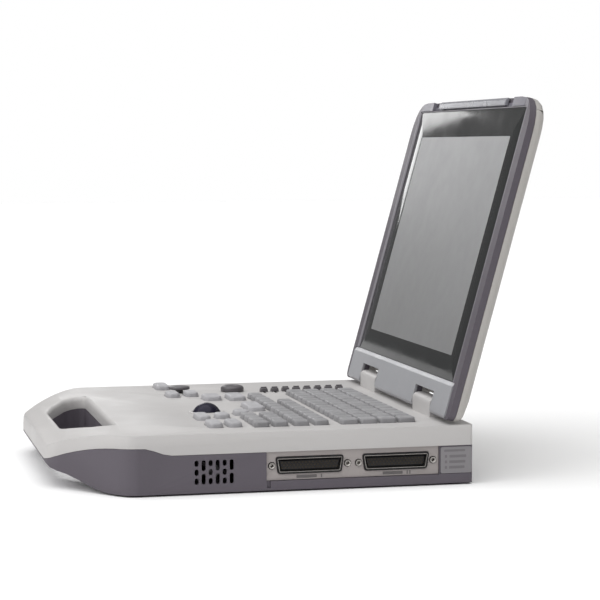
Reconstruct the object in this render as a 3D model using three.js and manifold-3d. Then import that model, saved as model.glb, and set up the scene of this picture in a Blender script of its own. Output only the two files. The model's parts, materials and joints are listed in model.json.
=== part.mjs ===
// Laptop-style veterinary ultrasound scanner, in millimetres, +Z up.
// The base carries the keys, trackball, sliders and probe sockets, its nose is a carry handle,
// and the screen lid turns on two hinge towers at the rear. It is shown with the lid open.
// While it is built, Y = 0 is the rear face of the base and Z = 0 is the table; the last lines
// move the whole group so that the origin is under the middle of its bounding box.
import * as THREE from 'three';
import { mergeVertices } from 'three/addons/utils/BufferGeometryUtils.js';
import Module from 'manifold-3d';

const wasm = await Module();
wasm.setup();

// ---------------------------------------------------------------- driving dimensions

const GAP = 0.3; // clearance between pieces that rest on each other

const FOOT = { radius: 7, height: 2.2, pocketDepth: 1.0 };

const BASE = {
  halfWidth: 160.75,
  bottomZ: 1.5,
  splitZ: 31.7, // where the upper and lower shells meet
  deckZ: 47.7,
  wall: 2.6,
  shoulderY: -278, // the sides turn in here, towards the nose
  noseY: -334.5,
  noseHalfWidth: 94.4,
  noseTopY: -333.5,
};

// The nose droops forward along an arc, and its underside sweeps up in an S-curve.
const NOSE = { droopStartY: -280, droopRadius: 100, sweepStartY: -288, sweepEndY: -330, sweepRise: 13 };

// Height of the white side band: full along the sides, thin at the shoulder, wider at the tip.
const BAND = { full: 16, thin: 10, rampStartY: -243.5, rampEndY: -267, tipGrowth: 0.015 };

const HANDLE = { rearY: -279, kneeY: -294, frontY: -316, halfWidthRear: 91, halfWidthFront: 56 };

const KEY = { size: 14.6, pitch: 15.8, aboveDeck: 4.2, clearance: 0.3, nearX: 127.7 };
const MAT = { topZ: 44.8, thickness: 1.0, margin: 1.0 };

// Rows of the rear alphanumeric mat and the front control mat: y of the row and which columns
// it fills, counted from the right-hand column towards the left.
const REAR_ROWS = [-47.2, -63, -79, -94.5].map((y) => ({ y, columns: range(0, 13) }));
const FRONT_ROWS = [
  { y: -117.8, columns: range(0, 9) },
  { y: -134, columns: range(0, 12) },
  { y: -151, columns: range(0, 4) },
  { y: -166.4, columns: range(0, 4) },
];
const FRONT_KEY_DEPTH = 12.6;

// Single function keys: centre x, centre y, size along X, size along Y.
const FUNCTION_KEYS = [
  [118, -187, 27, 12],
  [118, -202.5, 27, 12],
  [74, -204, 26, 12],
  [72, -187, 17, 12.5],
  [56, -168, 18, 12.5],
  [22, -150.5, 40, 15],
  [-46, -152, 32, 15],
  [-48, -173, 24, 16],
  [-78, -186, 22, 12],
  [-76, -203, 24, 12],
  [-136, -203, 30, 13],
];
const FUNCTION_KEY = { aboveDeck: 4, flange: 1, flangeTopZ: 44.8, flangeThickness: 0.9, corner: 4 };

const BALL = { x: 20, y: -190, radius: 12.7, centreZ: 41 };
const DISH = { radius: 29, floorRadius: 15.6, depth: 2, bossDepth: 1.6 };
const RING = { outerRadius: 15, bottomZ: 44.4, topZ: 46.6, innerTop: 11.75, innerBottom: 12.6 };
const CUP = { outerRadius: 18.2, bottomZ: 23, topZ: 43.6, innerRadius: 13.4 };
const ROLLER = { radius: 1.5, length: 10 };

const SLIDER = {
  count: 8, x: -89, firstY: -46.6, pitch: 10.05, travel: 8,
  capX: 5.5, capY: 7.4, capHeight: 4.2, stemX: 3, stemY: 1.5, stemBottomZ: 36, slotY: 2.3,
};

const GAIN_KNOB = { x: -99, y: -144, radius: 10.5, height: 5.4, shaftRadius: 3 };
const MENU_KNOB = { x: -100, y: -192.6, radius: 9.6, height: 5.6, stemRadius: 3.6, shaftRadius: 3 };
const KNOB_HOLE_RADIUS = 3.5;
const SHAFT_BOTTOM_Z = 38.4;

const KEY_BOARD = { topZ: 42.4, thickness: 1.6 };

const PROBE_PANEL = { frontY: -168.7, rearY: -28.5, bottomZ: 9.1, faceX: 159, backX: 156.2 };
const SOCKET = {
  ys: [-134, -63.9], z: 20.6, halfLength: 27.4, halfHeight: 6.6, slant: 1.8, wall: 1.1,
  frontX: 160.6, faceX: 155.4, backX: 144,
};
const JACK = { offset: 30.55, radius: 2.7, holeRadius: 1.3, frontX: 160.5, backX: 153 };
const LABEL = { frontY: -27.2, rearY: -1.2, bottomZ: 9.4, topZ: 30.6, thickness: 0.4 };

const VENT = { centreY: -210.5, centreZ: 17.7, pitch: 5.54, slotWidth: 3.3, height: 19.1, gap: 2 };
const FAN = { centreX: 150.5, halfSize: 12.7, depth: 8, bore: 11.9, hub: 5 };

const INLET = { x: -120, z: 18, bore: 4, outer: 6, depth: 14 };

const TOWER = { innerX: 60, outerX: 109, halfDepth: 7.5, aboveAxis: 3.8, corner: 5, wall: 1.1 };
const PIVOT = { y: -13.3, z: 59 };
const LID_TILT = THREE.MathUtils.degToRad(15.5); // leaning back from upright
const SHAFT = { radius: 1.8, reach: 7, bore: 2.2 };

// The lid is drawn flat: s is the distance up the lid and n the height in front of the glass.
// The hinge axis is at s = LID.axisS and n = LID.axisN.
const LID = {
  axisS: 13, axisN: -4.6, halfWidth: 160.75, bottomS: 3.5, topS: 272,
  cornerTop: 32, cornerBottom: 9, rimN: 1, bezelBackN: -4.5, shellBackN: -13.4, plateauN: -15.4,
};
const GLASS = { halfWidth: 145, bottomS: 34, topS: 262.3, thickness: 1.8 };
const SCREEN = { halfWidth: 132, bottomS: 44, topS: 248, backN: -9.5 };
const COVER = { halfWidth: 151.5, topS: 33.6, frontN: 2.2, backN: 0, bevel: 3.2 };
const NOTCH = { innerX: 58.4, outerX: 110.6, topS: 21.6, midTopS: 19.3, midN: -8.9, backTopS: 18.3, backN: -10.5 };
const LATCH = {
  halfBar: 91.5, halfRecess: 110.5, halfFrame: 141, bottomS: 263.6, barBottomS: 264.8,
  barTopS: 271.6, barBackN: -1.8, barFrontN: 1.4, floorN: -3,
};

// ---------------------------------------------------------------- materials

function material(color, roughness, metalness = 0) {
  return new THREE.MeshStandardMaterial({ color, roughness, metalness });
}

const whitePlastic = () => material(0xd6d5d4, 0.55);
const lidPlastic = () => material(0xc9c4be, 0.55);
const greyPlastic = () => material(0x645d68, 0.6);
const silverPlastic = () => material(0xa6a8ad, 0.45);
const panelPlastic = () => material(0xb0a9ab, 0.6);
const latchPlastic = () => material(0xc8c8d2, 0.4);
const silicone = () => material(0x9a9a9e, 0.8);
const darkPlastic = () => material(0x3c393d, 0.5);
const blackPlastic = () => material(0x161617, 0.5);
const blackRubber = () => material(0x1d1c1e, 0.9);
const ballPlastic = () => material(0x14111f, 0.15);
const glass = () => material(0x2b2d2e, 0.08);
const display = () => material(0x9b9c9e, 0.4);
const steel = () => material(0xb5b2ab, 0.35, 1);
const board = () => material(0x1f5a38, 0.6);
const paper = () => material(0x8d888c, 0.7);
const shrinkWrap = () => material(0x2b3f74, 0.5);

// ---------------------------------------------------------------- solids

function range(first, end) {
  return Array.from({ length: end - first }, (_, i) => first + i);
}

// Turns a closed BufferGeometry into a solid that can be joined and cut.
function solid(geometry) {
  const bare = geometry.index ? geometry.toNonIndexed() : geometry.clone();
  bare.deleteAttribute('normal');
  bare.deleteAttribute('uv');
  const merged = mergeVertices(bare, 1e-4);
  return new wasm.Manifold(new wasm.Mesh({
    numProp: 3,
    vertProperties: new Float32Array(merged.attributes.position.array),
    triVerts: new Uint32Array(merged.index.array),
  }));
}

function mesh(name, body, surface) {
  const { vertProperties, triVerts } = body.getMesh();
  const geometry = new THREE.BufferGeometry();
  geometry.setAttribute('position', new THREE.BufferAttribute(vertProperties, 3));
  geometry.setIndex(new THREE.BufferAttribute(triVerts, 1));
  geometry.computeVertexNormals();
  const made = new THREE.Mesh(geometry, surface);
  made.name = name;
  return made;
}

function union(bodies) {
  return bodies.reduce((sum, body) => sum.add(body));
}

function cut(body, tools) {
  return tools.reduce((rest, tool) => rest.subtract(tool), body);
}

function box(x0, x1, y0, y1, z0, z1) {
  const geometry = new THREE.BoxGeometry(x1 - x0, y1 - y0, z1 - z0);
  geometry.translate((x0 + x1) / 2, (y0 + y1) / 2, (z0 + z1) / 2);
  return solid(geometry);
}

function extrude(shape, depth, curveSegments = 4) {
  return new THREE.ExtrudeGeometry(shape, { depth, bevelEnabled: false, curveSegments, steps: 1 });
}

// A shape drawn in (x, y), standing from z0 to z1.
function prismZ(shape, z0, z1, curveSegments) {
  const geometry = extrude(shape, z1 - z0, curveSegments);
  geometry.translate(0, 0, z0);
  return solid(geometry);
}

// A shape drawn in (y, z), running from x0 to x1.
function prismX(shape, x0, x1, curveSegments) {
  const geometry = extrude(shape, x1 - x0, curveSegments);
  const turn = new THREE.Matrix4().makeBasis(
    new THREE.Vector3(0, 1, 0), new THREE.Vector3(0, 0, 1), new THREE.Vector3(1, 0, 0));
  geometry.applyMatrix4(turn);
  geometry.translate(x0, 0, 0);
  return solid(geometry);
}

// A shape drawn in (x, z), running from y0 to y1.
function prismY(shape, y0, y1, curveSegments) {
  const geometry = extrude(shape, y1 - y0, curveSegments);
  geometry.rotateX(Math.PI / 2);
  geometry.translate(0, y1, 0);
  return solid(geometry);
}

function cylinder(radius, length, segments, axis, x, y, z) {
  const geometry = new THREE.CylinderGeometry(radius, radius, length, segments);
  if (axis === 'x') geometry.rotateZ(-Math.PI / 2);
  if (axis === 'z') geometry.rotateX(Math.PI / 2);
  geometry.translate(x, y, z);
  return solid(geometry);
}

// A profile of [radius, height] points turned about a vertical axis at (x, y).
function turned(profile, segments, x, y) {
  const points = profile.map(([r, z]) => new THREE.Vector2(r, z));
  const geometry = new THREE.LatheGeometry(points, segments);
  geometry.rotateX(Math.PI / 2);
  geometry.translate(x, y, 0);
  return solid(geometry);
}

function polygon(points) {
  return new THREE.Shape(points.map(([a, b]) => new THREE.Vector2(a, b)));
}

// A closed outline of corners [a, b, r], each rounded over the length r along its two sides.
function rounded(corners) {
  const shape = new THREE.Shape();
  const count = corners.length;
  const at = ([a, b]) => new THREE.Vector2(a, b);
  corners.forEach((corner, i) => {
    const here = at(corner);
    const r = corner[2] ?? 0;
    const before = at(corners[(i + count - 1) % count]).sub(here).setLength(r).add(here);
    const after = at(corners[(i + 1) % count]).sub(here).setLength(r).add(here);
    if (i === 0) shape.moveTo(before.x, before.y);
    else shape.lineTo(before.x, before.y);
    if (r > 0) shape.quadraticCurveTo(here.x, here.y, after.x, after.y);
  });
  shape.closePath();
  return shape;
}

// Moves every side of an anticlockwise outline inward by d.
function inset(corners, d) {
  const count = corners.length;
  const inward = (from, to) => {
    const side = new THREE.Vector2(to[0] - from[0], to[1] - from[1]).normalize();
    return new THREE.Vector2(-side.y, side.x);
  };
  return corners.map((corner, i) => {
    const n1 = inward(corners[(i + count - 1) % count], corner);
    const n2 = inward(corner, corners[(i + 1) % count]);
    const shift = n1.clone().add(n2).multiplyScalar(d / (1 + n1.dot(n2)));
    const r = corner[2] ?? 0;
    return [corner[0] + shift.x, corner[1] + shift.y, Math.max(r - Math.max(d, 0), Math.min(r, 1))];
  });
}

// Completes the right-hand half of a symmetric outline, given front to rear, with its mirror.
function mirrored(half) {
  return [...half, ...[...half].reverse().map(([a, b, r]) => [-a, b, r])];
}

// ---------------------------------------------------------------- base shells

const outline = mirrored([
  [BASE.noseHalfWidth, BASE.noseY, 12],
  [BASE.halfWidth, BASE.shoulderY, 9],
  [BASE.halfWidth, 0, 4],
]);

const handleOutline = mirrored([
  [HANDLE.halfWidthFront, HANDLE.frontY, 13],
  [HANDLE.halfWidthRear, HANDLE.kneeY, 9],
  [HANDLE.halfWidthRear, HANDLE.rearY, 5],
]);

function smooth(from, to, value) {
  const t = THREE.MathUtils.clamp((value - from) / (to - from), 0, 1);
  return t * t * (3 - 2 * t);
}

function deckHeight(y) {
  const past = Math.max(0, NOSE.droopStartY - y);
  return BASE.deckZ - (past * past) / (2 * NOSE.droopRadius);
}

function bandHeight(y) {
  const ramp = smooth(BAND.rampStartY, BAND.rampEndY, y);
  const growth = Math.max(0, BAND.rampEndY - y) * BAND.tipGrowth;
  return BAND.full + (BAND.thin - BAND.full) * ramp + growth;
}

const splitHeight = (y) => deckHeight(y) - bandHeight(y);

function floorHeight(y) {
  const t = THREE.MathUtils.clamp((NOSE.sweepStartY - y) / (NOSE.sweepStartY - NOSE.sweepEndY), 0, 1);
  return BASE.bottomZ + (NOSE.sweepRise * (1 - Math.cos(Math.PI * t))) / 2;
}

// Points of a height curve between two y values, every step millimetres or so.
function sampled(height, fromY, toY, step) {
  const count = Math.ceil(Math.abs(toY - fromY) / step);
  return range(0, count + 1).map((i) => {
    const y = fromY + ((toY - fromY) * i) / count;
    return [y, height(y)];
  });
}

// Side view of the upper shell, inset by d. The split line stays where it is.
function topProfile(d) {
  const deck = sampled((y) => deckHeight(y) - d, NOSE.droopStartY, BASE.noseTopY + 1.5 + d, 10.5);
  const split = sampled((y) => splitHeight(y) - d, BASE.noseY + d, BAND.rampStartY, 7.5);
  return polygon([
    [-d, BASE.splitZ - d], [-d, BASE.deckZ - d], ...deck,
    [BASE.noseTopY + d, deckHeight(BASE.noseTopY) - 1.6 - d], ...split,
  ]);
}

// Side view of the lower shell, inset by d at the floor and open above the split line.
function bottomProfile(d, lift) {
  const split = sampled((y) => splitHeight(y) + lift, BAND.rampStartY, BASE.noseY + d, 7.5);
  const floor = sampled((y) => floorHeight(y) + d, NOSE.sweepEndY + 4 + d, NOSE.sweepStartY, 7);
  const tipZ = splitHeight(BASE.noseY);
  return polygon([
    [-d, BASE.bottomZ + d], [-d, BASE.splitZ + lift], ...split,
    [BASE.noseY + 1 + d, tipZ - 3], [BASE.noseY + 3.5 + d, tipZ - 5.6 + d / 2], ...floor,
  ]);
}

// A shell: the side view crossed with the plan, hollow inside, with the handle walled off.
function shell(outerProfile, innerProfile) {
  const reach = BASE.halfWidth + 5;
  const outer = prismX(outerProfile, -reach, reach).intersect(prismZ(rounded(outline), -5, 60));
  const plan = prismZ(rounded(inset(outline, BASE.wall)), -5, 60);
  const hollow = prismX(innerProfile, -reach, reach).intersect(plan);
  const handleWall = prismZ(rounded(inset(handleOutline, -BASE.wall)), -5, 60);
  const handle = prismZ(rounded(handleOutline), -5, 60);
  return cut(outer, [hollow.subtract(handleWall), handle]);
}

function keyHoles(rows, depth) {
  const half = KEY.size / 2 + KEY.clearance;
  const halfDepth = depth / 2 + KEY.clearance;
  return rows.flatMap(({ y, columns }) => columns.map((column) => {
    const x = KEY.nearX - column * KEY.pitch;
    return box(x - half, x + half, y - halfDepth, y + halfDepth, BASE.deckZ - 5, BASE.deckZ + 5);
  }));
}

function roundedKey(x, y, sizeX, sizeY, corner, z0, z1) {
  const [a, b] = [sizeX / 2, sizeY / 2];
  const corners = [[-a, -b], [a, -b], [a, b], [-a, b]].map(([u, v]) => [x + u, y + v, corner]);
  return prismZ(rounded(corners), z0, z1, 2);
}

const sliderYs = range(0, SLIDER.count).map((i) => SLIDER.firstY - i * SLIDER.pitch);

function sliderSlots() {
  const half = SLIDER.travel + SLIDER.stemX / 2 + 0.4;
  return sliderYs.map((y) => box(
    SLIDER.x - half, SLIDER.x + half, y - SLIDER.slotY / 2, y + SLIDER.slotY / 2,
    BASE.deckZ - 5, BASE.deckZ + 5));
}

function towerShape(shrink) {
  const d = TOWER.halfDepth - shrink;
  const top = PIVOT.z + TOWER.aboveAxis - shrink;
  const foot = BASE.deckZ - BASE.wall - (shrink > 0 ? 1 : 0);
  const corner = TOWER.corner - shrink;
  return rounded([
    [PIVOT.y - d, foot, 0], [PIVOT.y + d, foot, 0], [PIVOT.y + d, top, corner], [PIVOT.y - d, top, corner],
  ]);
}

// Runs once for each side: 1 is the right, -1 the left.
const SIDES = [['right', 1], ['left', -1]];

function spanX(side, inner, outer) {
  return side > 0 ? [inner, outer] : [-outer, -inner];
}

function topCase() {
  let body = shell(topProfile(0), topProfile(BASE.wall));
  for (const [, side] of SIDES) {
    body = body.add(prismX(towerShape(0), ...spanX(side, TOWER.innerX, TOWER.outerX)));
  }
  const dish = turned([
    [0, BASE.deckZ - DISH.depth], [DISH.floorRadius, BASE.deckZ - DISH.depth],
    [DISH.radius, BASE.deckZ + 0.01], [DISH.radius, BASE.deckZ + 3], [0, BASE.deckZ + 3],
  ], 28, BALL.x, BALL.y);
  const boss = cylinder(DISH.radius + 1, DISH.bossDepth, 28, 'z', BALL.x, BALL.y, BASE.deckZ - BASE.wall - 0.4);
  const ballHole = cylinder(RING.outerRadius + GAP, 20, 28, 'z', BALL.x, BALL.y, BASE.deckZ - DISH.depth);
  const hollows = SIDES.map(([, side]) => prismX(
    towerShape(TOWER.wall), ...spanX(side, TOWER.innerX + 2, TOWER.outerX - 2)));
  const shaftBores = SIDES.map(([, side]) => cylinder(
    SHAFT.bore, 70, 16, 'x', (side * (TOWER.innerX + TOWER.outerX)) / 2, PIVOT.y, PIVOT.z));
  const functionHoles = FUNCTION_KEYS.map(([x, y, sizeX, sizeY]) => roundedKey(
    x, y, sizeX + 2 * KEY.clearance, sizeY + 2 * KEY.clearance, FUNCTION_KEY.corner,
    BASE.deckZ - 5, BASE.deckZ + 5));
  const knobHoles = [GAIN_KNOB, MENU_KNOB].map((knob) => cylinder(
    KNOB_HOLE_RADIUS, 10, 16, 'z', knob.x, knob.y, BASE.deckZ));
  body = cut(body.add(boss), [
    dish, ballHole, ...hollows, ...shaftBores, ...functionHoles, ...knobHoles, ...sliderSlots(),
    ...keyHoles(REAR_ROWS, KEY.size), ...keyHoles(FRONT_ROWS, FRONT_KEY_DEPTH),
  ]);
  return mesh('top_case', body, whitePlastic());
}

// One column of rounded upright slots through the right-hand wall.
function ventColumn(y, slots) {
  const length = (VENT.height - VENT.gap * (slots - 1)) / slots;
  const half = VENT.slotWidth / 2;
  return range(0, slots).map((i) => {
    const low = VENT.centreZ - VENT.height / 2 + i * (length + VENT.gap);
    const corners = [[y - half, low], [y + half, low], [y + half, low + length], [y - half, low + length]];
    const shape = rounded(corners.map(([a, b]) => [a, b, half * 0.98]));
    return prismX(shape, BASE.halfWidth - 5, BASE.halfWidth + 5, 2);
  });
}

const footPlaces = [
  ['front', -262], ['rear', -20],
].flatMap(([end, y]) => SIDES.map(([name, side]) => ({ name: `foot_${end}_${name}`, x: side * 132, y })));

function bottomCase() {
  const open = 30;
  let body = shell(bottomProfile(0, -GAP), bottomProfile(BASE.wall, open));
  const vent = range(0, 6).flatMap((i) => ventColumn(
    VENT.centreY + (i - 2.5) * VENT.pitch, i % 2 === 0 ? 3 : 2));
  const panelWindow = box(
    150, BASE.halfWidth + 5, PROBE_PANEL.frontY - GAP, PROBE_PANEL.rearY + GAP,
    PROBE_PANEL.bottomZ - GAP, BASE.splitZ + 5);
  const cornerNotch = box(
    BASE.halfWidth - 1.5, BASE.halfWidth + 5, PROBE_PANEL.frontY, PROBE_PANEL.frontY + 3, 3.4,
    PROBE_PANEL.bottomZ + 1);
  const labelPocket = box(
    BASE.halfWidth - LABEL.thickness - GAP, BASE.halfWidth + 5, LABEL.frontY - GAP, LABEL.rearY + GAP,
    LABEL.bottomZ - GAP, LABEL.topZ + GAP);
  const feet = footPlaces.map(({ x, y }) => cylinder(
    FOOT.radius + GAP, 2 * FOOT.pocketDepth, 18, 'z', x, y, BASE.bottomZ));
  const inlet = cylinder(INLET.outer + GAP, 12, 20, 'y', INLET.x, 0, INLET.z);
  body = cut(body, [...vent, panelWindow, cornerNotch, labelPocket, ...feet, inlet]);
  return mesh('bottom_case', body, greyPlastic());
}

function feet() {
  return footPlaces.map(({ name, x, y }) => mesh(
    name, cylinder(FOOT.radius, FOOT.height, 18, 'z', x, y, FOOT.height / 2), blackRubber()));
}

// ---------------------------------------------------------------- keys, ball, sliders and knobs

// A silicone mat with every key standing up through its own hole in the deck. Its web lies under
// the deck and is drawn row by row, each piece reaching back to the row behind it.
function keyMat(name, rows, depth) {
  const half = KEY.size / 2;
  const webs = rows.map(({ y, columns }, i) => {
    const right = KEY.nearX - columns[0] * KEY.pitch;
    const left = KEY.nearX - columns.at(-1) * KEY.pitch;
    const rear = i > 0 ? rows[i - 1].y : y + depth / 2 + MAT.margin;
    return box(
      left - half - MAT.margin, right + half + MAT.margin, y - depth / 2 - MAT.margin, rear,
      MAT.topZ - MAT.thickness, MAT.topZ);
  });
  const keys = rows.flatMap(({ y, columns }) => columns.map((column) => {
    const x = KEY.nearX - column * KEY.pitch;
    return box(
      x - half, x + half, y - depth / 2, y + depth / 2, MAT.topZ - MAT.thickness / 2,
      BASE.deckZ + KEY.aboveDeck);
  }));
  return mesh(name, union([...webs, ...keys]), silicone());
}

// Separate keys with a flange under the deck that keeps them in.
function functionKeys() {
  return FUNCTION_KEYS.map(([x, y, sizeX, sizeY], i) => {
    const grow = 2 * FUNCTION_KEY.flange;
    const flange = roundedKey(
      x, y, sizeX + grow, sizeY + grow, FUNCTION_KEY.corner,
      FUNCTION_KEY.flangeTopZ - FUNCTION_KEY.flangeThickness, FUNCTION_KEY.flangeTopZ);
    const cap = roundedKey(
      x, y, sizeX, sizeY, FUNCTION_KEY.corner, FUNCTION_KEY.flangeTopZ - 0.5,
      BASE.deckZ + FUNCTION_KEY.aboveDeck);
    return mesh(`function_key_${i + 1}`, cap.add(flange), silicone());
  });
}

function trackball() {
  const geometry = new THREE.SphereGeometry(BALL.radius, 20, 12);
  geometry.rotateX(Math.PI / 2);
  geometry.translate(BALL.x, BALL.y, BALL.centreZ);
  const ball = mesh('trackball', solid(geometry), ballPlastic());
  const ring = mesh('trackball_ring', turned([
    [RING.outerRadius, RING.bottomZ], [RING.outerRadius, RING.topZ - 0.6], [RING.outerRadius - 0.8, RING.topZ],
    [RING.innerTop, RING.topZ], [RING.innerBottom, RING.bottomZ], [RING.outerRadius, RING.bottomZ],
  ], 28, BALL.x, BALL.y), whitePlastic());
  return [ball, ring, trackballCup(), ...rollers()];
}

function trackballCup() {
  const arc = range(0, 6).map((i) => {
    const angle = (Math.PI / 2) * (i / 5);
    return [CUP.innerRadius * Math.sin(angle), BALL.centreZ - CUP.innerRadius * Math.cos(angle)];
  });
  const cup = turned([
    [0, CUP.bottomZ], [CUP.outerRadius, CUP.bottomZ], [CUP.outerRadius, CUP.topZ],
    [CUP.innerRadius, CUP.topZ], ...arc.reverse(),
  ], 20, BALL.x, BALL.y);
  const room = ROLLER.length / 2 + 0.6;
  const reach = BALL.radius + 2 * ROLLER.radius + 1.2;
  const pockets = [
    box(BALL.x - room, BALL.x + room, BALL.y - reach, BALL.y - 9, BALL.centreZ - 2.2, CUP.topZ + 1),
    box(BALL.x + 9, BALL.x + reach, BALL.y - room, BALL.y + room, BALL.centreZ - 2.2, CUP.topZ + 1),
  ];
  return mesh('trackball_cup', cut(cup, pockets), blackPlastic());
}

// Two encoder rollers lie against the ball, one along X and one along Y.
function rollers() {
  const away = BALL.radius + ROLLER.radius + GAP;
  return [
    mesh('roller_along_x', cylinder(
      ROLLER.radius, ROLLER.length, 12, 'x', BALL.x, BALL.y - away, BALL.centreZ), steel()),
    mesh('roller_along_y', cylinder(
      ROLLER.radius, ROLLER.length, 12, 'y', BALL.x + away, BALL.y, BALL.centreZ), steel()),
  ];
}

function sliders() {
  const capBottom = BASE.deckZ + 0.5;
  return sliderYs.map((y, i) => {
    const cap = prismX(rounded([
      [y - SLIDER.capY / 2, capBottom, 0.6], [y + SLIDER.capY / 2, capBottom, 0.6],
      [y + SLIDER.capY / 2 - 0.8, capBottom + SLIDER.capHeight, 1.2],
      [y - SLIDER.capY / 2 + 0.8, capBottom + SLIDER.capHeight, 1.2],
    ]), SLIDER.x - SLIDER.capX / 2, SLIDER.x + SLIDER.capX / 2, 3);
    const stem = box(
      SLIDER.x - SLIDER.stemX / 2, SLIDER.x + SLIDER.stemX / 2, y - SLIDER.stemY / 2, y + SLIDER.stemY / 2,
      SLIDER.stemBottomZ, capBottom + 1);
    return mesh(`slider_knob_${i + 1}`, cap.add(stem), darkPlastic());
  });
}

// The bank of slide potentiometers under the knobs: a board with one grooved case for each stem.
function sliderBank() {
  const lastY = sliderYs.at(-1);
  const plate = box(
    SLIDER.x - 16, SLIDER.x + 15, lastY - 6, SLIDER.firstY + 6, SLIDER.stemBottomZ - 5, SLIDER.stemBottomZ - 3);
  const cases = sliderYs.map((y) => box(
    SLIDER.x - 13, SLIDER.x + 13, y - 3.4, y + 3.4, SLIDER.stemBottomZ - 3.5, SLIDER.stemBottomZ + 4));
  const grooves = sliderYs.map((y) => box(
    SLIDER.x - 10.5, SLIDER.x + 10.5, y - 1.2, y + 1.2, SLIDER.stemBottomZ - 0.8, SLIDER.stemBottomZ + 6));
  return mesh('slider_bank', cut(union([plate, ...cases]), grooves), blackPlastic());
}

// A low domed knob with a finger dimple, and a flat-topped knob on a short stem.
function knobs() {
  const low = BASE.deckZ + 0.4;
  const dome = turned([
    [0, SHAFT_BOTTOM_Z], [GAIN_KNOB.shaftRadius, SHAFT_BOTTOM_Z], [GAIN_KNOB.shaftRadius, low],
    [GAIN_KNOB.radius, low], [GAIN_KNOB.radius, low + 2.6], [GAIN_KNOB.radius - 1, low + 4.2],
    [GAIN_KNOB.radius - 3, low + GAIN_KNOB.height], [0, low + GAIN_KNOB.height],
  ], 20, GAIN_KNOB.x, GAIN_KNOB.y);
  const mushroom = turned([
    [0, SHAFT_BOTTOM_Z], [MENU_KNOB.shaftRadius, SHAFT_BOTTOM_Z], [MENU_KNOB.shaftRadius, low],
    [MENU_KNOB.stemRadius, low], [MENU_KNOB.stemRadius, low + 2.6], [MENU_KNOB.radius, low + 3],
    [MENU_KNOB.radius, low + MENU_KNOB.height - 0.6], [MENU_KNOB.radius - 0.8, low + MENU_KNOB.height],
    [0, low + MENU_KNOB.height],
  ], 20, MENU_KNOB.x, MENU_KNOB.y);
  return [mesh('gain_knob', dome, darkPlastic()), mesh('menu_knob', mushroom, darkPlastic())];
}

// The board under the keys, with an encoder case round each knob shaft.
function keyBoard() {
  const bottom = KEY_BOARD.topZ - KEY_BOARD.thickness;
  const plate = box(-152, 140, -214, -38, bottom, KEY_BOARD.topZ);
  const cases = [GAIN_KNOB, MENU_KNOB].map(({ x, y }) => cylinder(
    6, 8, 12, 'z', x, y, KEY_BOARD.topZ - 3.8));
  const bores = [GAIN_KNOB, MENU_KNOB].map(({ x, y }) => cylinder(3.4, 8, 12, 'z', x, y, KEY_BOARD.topZ));
  const ballRoom = cylinder(CUP.outerRadius + 1, 20, 20, 'z', BALL.x, BALL.y, KEY_BOARD.topZ);
  const sliderRoom = box(
    SLIDER.x - 17, SLIDER.x + 16, sliderYs.at(-1) - 7, SLIDER.firstY + 7, bottom - 2, KEY_BOARD.topZ + 2);
  return mesh('key_board', cut(union([plate, ...cases]), [...bores, ballRoom, sliderRoom]), board());
}

// ---------------------------------------------------------------- side panel and fan

// A D-shaped outline in (y, z), wider along the top.
function dShape(centreY, grow) {
  const a = SOCKET.halfLength + grow;
  const b = SOCKET.halfHeight + grow;
  return rounded([
    [centreY - a + SOCKET.slant, SOCKET.z - b, 2.4], [centreY + a - SOCKET.slant, SOCKET.z - b, 2.4],
    [centreY + a, SOCKET.z + b, 2.4], [centreY - a, SOCKET.z + b, 2.4],
  ]);
}

const jackYs = SOCKET.ys.flatMap((y) => [y - JACK.offset, y + JACK.offset]);

function probePanel() {
  const plate = box(
    PROBE_PANEL.backX, PROBE_PANEL.faceX, PROBE_PANEL.frontY, PROBE_PANEL.rearY,
    PROBE_PANEL.bottomZ, BASE.splitZ - GAP);
  const windows = SOCKET.ys.map((y) => prismX(dShape(y, GAP), 140, 170, 3));
  const holes = jackYs.map((y) => cylinder(JACK.radius + GAP, 20, 12, 'x', PROBE_PANEL.faceX, y, SOCKET.z));
  return mesh('probe_panel', cut(plate, [...windows, ...holes]), panelPlastic());
}

// Each socket is a shroud round a contact block that sits back from its mouth.
function probeSockets() {
  return SOCKET.ys.map((y, i) => {
    const shroud = prismX(dShape(y, 0), SOCKET.backX, SOCKET.frontX, 3);
    const room = prismX(dShape(y, -SOCKET.wall), SOCKET.faceX, SOCKET.frontX + 1, 3);
    return mesh(`probe_socket_${i + 1}`, shroud.subtract(room), blackPlastic());
  });
}

function jackScrews() {
  const length = JACK.frontX - JACK.backX;
  return jackYs.map((y, i) => {
    const post = cylinder(JACK.radius, length, 6, 'x', JACK.backX + length / 2, y, SOCKET.z);
    const thread = cylinder(JACK.holeRadius, 8, 12, 'x', JACK.frontX, y, SOCKET.z);
    return mesh(`jack_screw_${i + 1}`, post.subtract(thread), steel());
  });
}

function ratingLabel() {
  return mesh('rating_label', box(
    BASE.halfWidth - LABEL.thickness, BASE.halfWidth, LABEL.frontY, LABEL.rearY, LABEL.bottomZ, LABEL.topZ,
  ), paper());
}

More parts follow.
